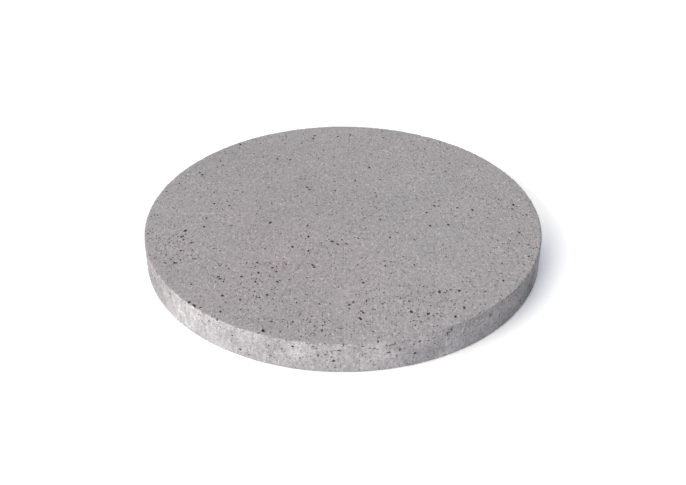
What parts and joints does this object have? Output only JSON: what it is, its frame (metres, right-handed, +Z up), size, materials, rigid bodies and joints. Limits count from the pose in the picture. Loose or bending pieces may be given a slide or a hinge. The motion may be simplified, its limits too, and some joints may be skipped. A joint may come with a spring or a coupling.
{
  "type": "round paving slab",
  "caption": "Round flat slab of cast concrete for paving, with a porous walking face, a rim that leans out slightly and softened edges.",
  "frame": {"origin": "centre of the underside, on the ground that the slab lies on", "axes": "+Z up, from the underside to the walking face; the slab is round about Z, and +Y points away from the viewer of the picture, with +X to the right"},
  "size_m": [0.5006, 0.5006, 0.04],
  "materials": {
    "concrete": "matte"
  },
  "bodies": {
    "root": {"slab": "concrete"}
  },
  "joints": []
}
